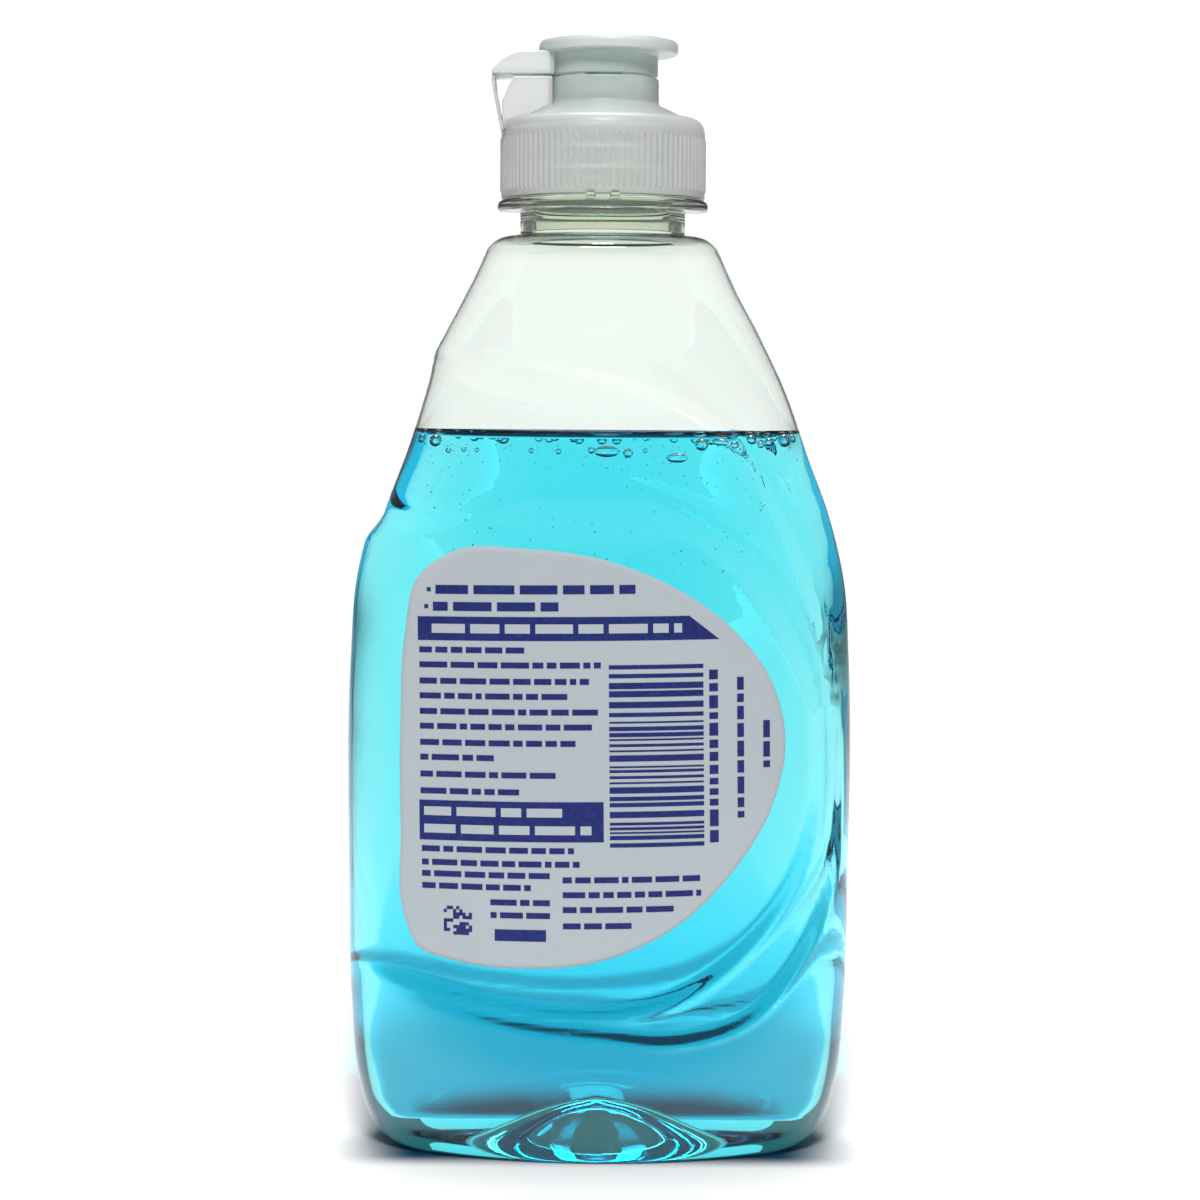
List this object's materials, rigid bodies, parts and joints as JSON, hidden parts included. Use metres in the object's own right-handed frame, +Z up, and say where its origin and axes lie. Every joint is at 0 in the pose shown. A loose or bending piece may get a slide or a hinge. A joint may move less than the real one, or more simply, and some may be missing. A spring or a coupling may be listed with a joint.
{
  "type": "dish soap bottle",
  "caption": "Clear oval squeeze bottle of blue dish soap with a sunken label panel and a translucent flip-top closure on a short neck.",
  "frame": {"origin": "centre of the base, on the surface that the bottle stands on", "axes": "+Z up along the neck axis, +X across the width away from the hinge, -Y out of the face with the printed back label"},
  "size_m": [0.0756, 0.0398, 0.1671],
  "materials": {
    "clear_pet": "blow-moulded clear PET, glossy",
    "blue_soap": "clear blue liquid",
    "label_film": "pale printed film, satin",
    "label_ink": "navy print",
    "natural_pp": "moulded natural polypropylene, satin and translucent"
  },
  "bodies": {
    "bottle": {"bottle": "clear_pet", "liquid": "blue_soap", "back_label": "label_film", "front_label": "label_film"},
    "closure": {"closure_body": "natural_pp"},
    "lid": {"lid": "natural_pp"}
  },
  "joints": [
    {"name": "closure_lift", "type": "slide", "parent": "bottle", "child": "closure", "axis": [0, 0, 1], "range_m": [0, 0.012]},
    {"name": "lid_flip", "type": "hinge", "parent": "closure", "child": "lid", "pos_m": [-0.0167, 0, 0.16115], "axis": [0, -1, 0], "range_deg": [0, 150]}
  ]
}
